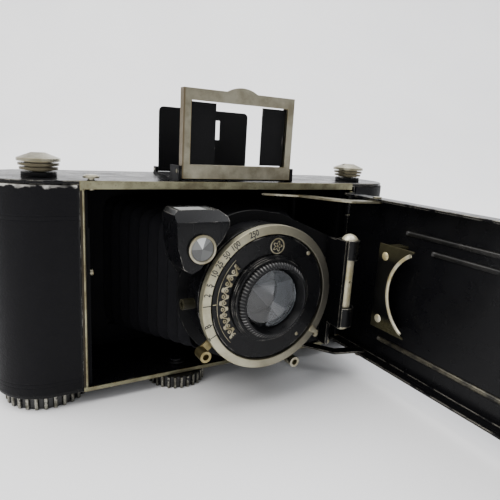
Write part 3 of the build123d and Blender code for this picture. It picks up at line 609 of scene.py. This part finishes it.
# speed ring markings
lensZ = sum(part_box("speed_ring")[i][2] for i in (0, 1)) / 2
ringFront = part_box("speed_ring")[0][1]
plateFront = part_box("face_plate")[0][1]
dial = {"radius": 24.0, "size": 3.1, "stretch": 0.78, "ink": 0.05, "tickIn": 23.25, "tickOut": 23.9,
        "tickHalf": 0.2,
        "marks": (("250", 109.6), ("100", 127.3), ("50", 137.1), ("25", 146.1), ("10", 154.0), ("5", 163.2),
                  ("2", 171.2), ("1", 180.0), ("B", 196.4), ("T", 206.9))}


def ringPlace(across, outward, lift, degrees, radius, front):
    # a flat sign's own across, outward and lift turned to its angle on the lens ring
    turn = math.radians(degrees)
    x = (radius + outward) * math.cos(turn) + across * math.sin(turn)
    z = (radius + outward) * math.sin(turn) - across * math.cos(turn)
    return np.stack((x * mm, front - lift * mm, lensZ + z * mm), -1)


def signMesh(text, size, thick):
    curve = bpy.data.curves.new("sign", "FONT")
    curve.body = text
    curve.size = size
    curve.extrude = thick / 2
    curve.offset = 0.065
    curve.align_x = "CENTER"
    curve.resolution_u = 3
    holder = bpy.data.objects.new("sign", curve)
    bpy.context.collection.objects.link(holder)
    mesh = bpy.data.meshes.new_from_object(holder.evaluated_get(bpy.context.evaluated_depsgraph_get()))
    bpy.data.objects.remove(holder)
    points = np.array([v.co for v in mesh.vertices])
    faces = [tuple(p.vertices) for p in mesh.polygons]
    return points, faces


def ringMarks():
    points, faces, count = [], [], 0
    for text, degrees in dial["marks"]:
        sign, signFaces = signMesh(text, dial["size"], dial["ink"])
        placed = ringPlace(sign[:, 0] * dial["stretch"], sign[:, 1], sign[:, 2] + dial["ink"] / 2, degrees,
                           dial["radius"], ringFront)
        points.append(placed)
        faces += [tuple(i + count for i in f) for f in signFaces]
        count += len(placed)
        half, low, high, lift = dial["tickHalf"], dial["tickIn"], dial["tickOut"], dial["ink"]
        corner = np.array([(u, v, w) for w in (0, lift) for u,
                           v in ((-half, low), (half, low), (half, high),
                                                                     (-half, high))])
        points.append(ringPlace(corner[:, 0], corner[:, 1], corner[:, 2], degrees, 0, ringFront))
        box = ((3, 2, 1, 0), (4, 5, 6, 7), (0, 1, 5, 4), (1, 2, 6, 5), (2, 3, 7, 6), (3, 0, 4, 7))
        faces += [tuple(i + count for i in f) for f in box]
        count += 8
    addPiece("ringMarks", np.concatenate(points), faces, ink, "speed_dial", smooth=False)


ringMarks()


# raised ornament on the face plate
def smoothStep(value, low, high):
    share = np.clip((value - low) / (high - low), 0, 1)
    return share * share * (3 - 2 * share)


def ornamentBand():
    # a winding stem with a curl in each bend and a leaf beside it, laid along an arc of the plate
    first, last, inner, outer = 134.0, 224.0, 16.0, 20.9
    rows, columns = 60, 620
    across, along = np.meshgrid(np.linspace(0, 1, rows), np.linspace(0, 1, columns), indexing="ij")
    bends = 6.5
    u = along * (last - first) / 180 * math.pi * (inner + outer) / 2
    pitch = (last - first) / 180 * math.pi * (inner + outer) / 2 / bends
    v = (across - 0.46) * (outer - inner)
    stem = 1 - smoothStep(np.abs(v - 1.05 * np.sin(2 * np.pi * u / pitch)), 0.30, 0.58)
    nearest = (np.floor(u / (pitch / 2)) + 0.5) * pitch / 2
    side = np.where(np.floor(u / (pitch / 2)) % 2 == 0, -0.35, 0.35)
    away = np.hypot(u - nearest, v - side)
    spin = np.arctan2(v - side, u - nearest)
    curl = 1 - smoothStep(np.abs(away - 0.46 - 0.12 * spin / np.pi), 0.16, 0.34)
    leafAway = np.hypot((u - nearest) / 1.5, (v + 3.6 * side) * 1.2)
    leaf = 1 - smoothStep(leafAway, 0.42, 0.66)
    fade = smoothStep(along, 0.01, 0.05) * (1 - smoothStep(along, 0.95, 0.99))
    scroll = np.maximum(np.maximum(stem, curl), leaf) * fade * (1 - smoothStep(np.abs(v), 1.75, 1.95))
    border = 1 - smoothStep(np.abs(across - 0.965), 0.010, 0.028)
    relief = np.maximum(scroll, border)
    rim = (across > 0.001) & (across < 0.999) & (along > 0.0005) & (along < 0.9995)
    radius = inner + across * (outer - inner)
    turn = np.radians(first + along * (last - first))
    lift = np.where(rim, 0.03 + 0.28 * relief, -0.02)
    points = np.stack((radius * np.cos(turn) * mm, plateFront - lift * mm,
                       lensZ + radius * np.sin(turn) * mm), -1)
    piece = addPiece("plateOrnament", points, gridFaces(rows, columns), finishes["inlay"], "shutter")
    storeRelief(piece, relief)


def emblem(x, z, radius):
    # a ring, a centre dot and a five-lobed flower pressed in a small round plate
    rows, columns = 40, 120
    reach = np.linspace(0, 1, rows)[:, None]
    turn = np.linspace(0, 2 * np.pi, columns, endpoint=False)[None, :]
    ring = 1 - smoothStep(np.abs(reach - 0.86) + 0 * turn, 0.05, 0.11)
    flower = 1 - smoothStep(np.abs(reach - (0.42 + 0.16 * np.cos(5 * turn))), 0.05, 0.12)
    dot = 1 - smoothStep(reach + 0 * turn, 0.10, 0.18)
    relief = np.maximum(np.maximum(ring, flower), dot)
    lift = 0.03 + 0.2 * relief
    lift[-1] = -0.02
    points = np.stack((x * mm + radius * mm * reach * np.cos(turn), plateFront - lift * mm,
                       z * mm + radius * mm * reach * np.sin(turn)), -1)
    piece = addPiece("plateEmblem", points, gridFaces(rows, columns, False, True)[:, ::-1],
                     finishes["inlay"], "shutter")
    storeRelief(piece, relief)


ornamentBand()
emblem(1.7, 56.9, 3.1)


def slottedScrew(name, x, z, front, radius, body, slotTurn):
    # a low dome whose face drops along a slot
    rows, columns = 14, 40
    reach = np.linspace(0, 1, rows)[:, None]
    turn = np.linspace(0, 2 * np.pi, columns, endpoint=False)[None, :]
    lift = 0.45 * np.sqrt(np.clip(1 - 0.8 * reach ** 2, 0, 1)) + 0 * turn
    offset = np.abs(reach * np.sin(turn - slotTurn))
    lift = lift - 0.25 * (1 - smoothStep(offset, 0.12, 0.24))
    lift[-1] = -0.02
    points = np.stack((x * mm + radius * mm * reach * np.cos(turn), front - lift * mm,
                       z * mm + radius * mm * reach * np.sin(turn)), -1)
    addPiece(name, points, gridFaces(rows, columns, False, True)[:, ::-1], finishes["nickel"], body)


slottedScrew("plateScrewUpper", 15.3, 53.5, plateFront, 0.85, "shutter", 0.6)
slottedScrew("plateScrewLower", 13.0, 22.6, plateFront, 0.75, "shutter", 2.1)

# the pale index line beside the ring and the small clip that ends its travel
indexLine = np.array([(u, v, w) for w in (-0.02, 0.12) for u,
                      v in ((-0.14, 21.0), (0.14, 21.0), (0.14, 22.3),
                                                                  (-0.14, 22.3))])
boxFaces = ((3, 2, 1, 0), (4, 5, 6, 7), (0, 1, 5, 4), (1, 2, 6, 5), (2, 3, 7, 6), (3, 0, 4, 7))
addPiece("indexLine", ringPlace(indexLine[:, 0], indexLine[:, 1], indexLine[:, 2], 180.0, 0, plateFront),
         boxFaces,
         finishes["dialNickelPaintedShade"], "shutter", smooth=False)


def ringClip():
    # a bent tongue over the ring's edge, narrow at its tip
    outline = np.array([(-1.3, 23.4), (-0.5, 22.9), (0.5, 22.9), (1.3, 23.4), (0.8, 26.0), (0.9, 27.4),
                        (-0.9, 27.4),
                        (-0.8, 26.0)])
    rows = np.array([(u * k, 25.1 + (v - 25.1) * k, w) for w, k in ((-0.02, 1.0), (0.30, 1.0), (0.38, 0.86))
                     for u, v in outline])
    points = ringPlace(rows[:, 0], rows[:, 1], rows[:, 2], -36.5, 0, ringFront)
    faces = [tuple(f) for f in gridFaces(3, len(outline), False, True)[:, ::-1]]
    faces += [tuple(range(16, 24)), tuple(range(7, -1, -1))]
    addPiece("ringClip", points, faces, finishes["nickel"], "speed_dial", smooth=False)


ringClip()
print("markings made")


# knurled front ring
def knurledBezel():
    low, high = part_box("lens_bezel")
    back, outer = high[1] / mm, (high[0] - low[0]) / 2 / mm
    front = low[1] / mm
    slopes = np.array([(10.75, back), (10.75, back - 0.25), (11.1, back - 0.8), (11.7, front + 0.25),
                       (11.9, front + 0.02),
                       (12.1, front + 0.02), (12.25, front + 0.18), (12.4, front + 0.22),
                       (12.9, front + 0.5),
                       (13.4, front + 0.95), (13.65, front + 1.25), (outer, front + 1.45),
                       (outer, back - 0.35),
                       (outer - 0.35, back - 0.25), (outer - 0.35, back), (12.0, back)])
    turn = np.linspace(0, 2 * np.pi, 70 * 8, endpoint=False)[None, :]
    toothed = np.array([0, 0, 0, 0, 0, 0, 0, 0.6, 1, 1, 1, 1, 1, 0, 0, 0])[:, None]
    wave = np.clip(np.cos(70 * turn) * 1.6, -1, 1)
    radius = slopes[:, 0][:, None] + 0.16 * toothed * (wave - 1) / 2
    depth = slopes[:, 1][:, None] - 0.22 * toothed * (wave - 1) / 2 * (slopes[:, 1][:, None] < back - 1)
    points = np.stack((radius * np.cos(turn) * mm, depth * mm, lensZ + radius * np.sin(turn) * mm), -1)
    piece = addPiece("knurledBezel", points, gridFaces(len(slopes), turn.shape[1], True, True),
                     finishes["knurlPaint"],
                     "shutter")
    storeRelief(piece, toothed * (wave + 1) / 2)
    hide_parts("lens_bezel")


knurledBezel()


# bed fittings
def sweep(name, path, section, finish, body, normal):
    # the section (along side, along normal) is carried down the path, side being path direction across normal
    path, section = np.array(path, float), np.array(section, float)
    ahead = np.gradient(path, axis=0)
    ahead /= np.linalg.norm(ahead, axis=1)[:, None]
    side = np.cross(ahead, np.array(normal, float))
    side /= np.linalg.norm(side, axis=1)[:, None]
    points = path[:, None, :] + side[:, None, :] * section[None, :, 0:1] + np.array(normal)[None, None, :] * \
        section[None, :, 1:2]
    faces = [tuple(f) for f in gridFaces(len(path), len(section), False, True)]
    count = len(section)
    faces += [tuple(range(count - 1, -1, -1)), tuple(len(path) * count - count + i for i in range(count))]
    return addPiece(name, points * mm, faces, finish, body)


ovalTurn = np.linspace(0, 2 * np.pi, 14, endpoint=False)
rimShape = {"centre": -75.2, "radius": 18.0, "reach": 60.5, "steps": 60, "half": (0.72, 0.5)}
arcLow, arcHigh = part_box("standard_rest")
arcCentre = (rimShape["centre"], (arcLow[2] + arcHigh[2]) / 2 / mm)
arcTurn = np.radians(np.linspace(-rimShape["reach"], rimShape["reach"], rimShape["steps"]))
arcPath = np.stack((np.full(rimShape["steps"], arcLow[0] / mm),
                    arcCentre[0] + rimShape["radius"] * np.cos(arcTurn),
                    arcCentre[1] + rimShape["radius"] * np.sin(arcTurn)), -1)
# the rim is drawn in the paler nickel: painted highlight
sweep("restRim", arcPath, np.stack((rimShape["half"][0] * np.cos(ovalTurn),
                                    rimShape["half"][1] * np.sin(ovalTurn)), -1),
      finishes["nickelPaintedHighlight"], "bed", (-1, 0, 0))
rivetShape = {"rows": 12, "columns": 32, "power": 0.6}


def rivetHeads():
    # a dome for each rivet, nearly flat in the middle and steep at the rim; it stands for the flat CAD rivets
    low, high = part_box("rest_rivets")
    radius, rise, foot = (high[1] - low[1]) / 2, high[0] - low[0], high[0]
    rows, columns = rivetShape["rows"], rivetShape["columns"]
    reach = np.linspace(0, 1, rows)[:, None]
    turn = np.linspace(0, 2 * np.pi, columns, endpoint=False)[None, :]
    lift = rise * (1 - reach ** 2) ** rivetShape["power"] + 0 * turn
    for index, middle in enumerate((low[2] + radius, high[2] - radius)):
        points = np.stack((foot - lift, (low[1] + high[1]) / 2 + radius * reach * np.cos(turn),
                           middle + radius * reach * np.sin(turn)), -1)
        # each head is drawn in the paler nickel: painted highlight
        head = addPiece("restRivet%d" % (index + 1), points, gridFaces(rows, columns, False, True)[:, ::-1],
                        finishes["nickelPaintedHighlight"], "bed")
        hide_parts("rest_rivets")


rivetHeads()
beadShape = {"inset": 1.05, "low": 1.2, "high": 73.4, "steps": 30, "half": (0.32, 0.14)}
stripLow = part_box("front_trim")[0]
beadPath = np.stack((np.full(beadShape["steps"], stripLow[0] / mm + beadShape["inset"]),
                     np.full(beadShape["steps"], stripLow[1] / mm),
                     np.linspace(beadShape["low"], beadShape["high"], beadShape["steps"])), -1)
sweep("trimBead", beadPath, np.stack((beadShape["half"][0] * np.cos(ovalTurn),
                                      beadShape["half"][1] * np.sin(ovalTurn)), -1),
      finishes["duskyNickel"], "case", (0, -1, 0))
railLook = {"base": 1.0, "margin": 3, "steps": 40}
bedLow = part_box("bed_panel")[0]
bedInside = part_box("bed_leather")[0][0] / mm - railLook["base"]
railShape = np.array([(-1.0, -0.05), (1.0, -0.05), (0.85, 0.55), (0.35, 0.8), (-0.35, 0.8), (-0.85, 0.55)])
for name, level, start, finish in (("bedRailLower", 13.4, -50.0, "wornRail"),
                                   ("bedRailUpper", 60.5, -58.0, "dimRail"),
                                   ("bedRailInner", 55.2, -71.0, "dimRail")):
    railEnds = np.linspace(bedLow[1] / mm + railLook["margin"], start, railLook["steps"])
    railPath = np.stack((np.full(railLook["steps"], bedInside), railEnds,
                         np.full(railLook["steps"], level)), -1)
    sweep(name, railPath, railShape, finishes[finish], "bed", (-1, 0, 0))
print("bed fittings made")


def backdrop():
    # flat cloth under the camera that bends up behind it
    ground = stand["height"]
    turn = np.linspace(0, math.pi / 2, 16)
    flatEnd, bend = stand["flat"], stand["bend"]
    profile = [(stand["front"], ground), (flatEnd, ground)]
    profile += [(flatEnd + bend * math.sin(t), ground + bend * (1 - math.cos(t))) for t in turn[1:]]
    profile += [(flatEnd + bend, stand["top"])]
    heading = math.radians(view["heading"])
    rows = []
    for away, rise in profile:
        for side in (-stand["half"], stand["half"]):
            rows.append((away * math.sin(heading) + side * math.cos(heading),
                         away * math.cos(heading) - side * math.sin(heading), rise))
    mesh = bpy.data.meshes.new("floor")
    mesh.from_pydata(rows, [], [tuple(f) for f in gridFaces(len(profile), 2)[:, ::-1]])
    mesh.polygons.foreach_set("use_smooth", np.full(len(mesh.polygons), True))
    cloth = bpy.data.objects.new("floor", mesh)
    bpy.context.collection.objects.link(cloth)
    look, tree, shader = newFinish("floorLook")
    patches = ramp(tree, noise(tree, objectPlace(tree), 2.5, 3), 0.35, 0.65)
    tree.links.new(blendColour(tree, patches, stand["colour"], stand["shade"]), shader.inputs["Base Color"])
    shader.inputs["Roughness"].default_value = 0.9
    mesh.materials.append(look)


backdrop()
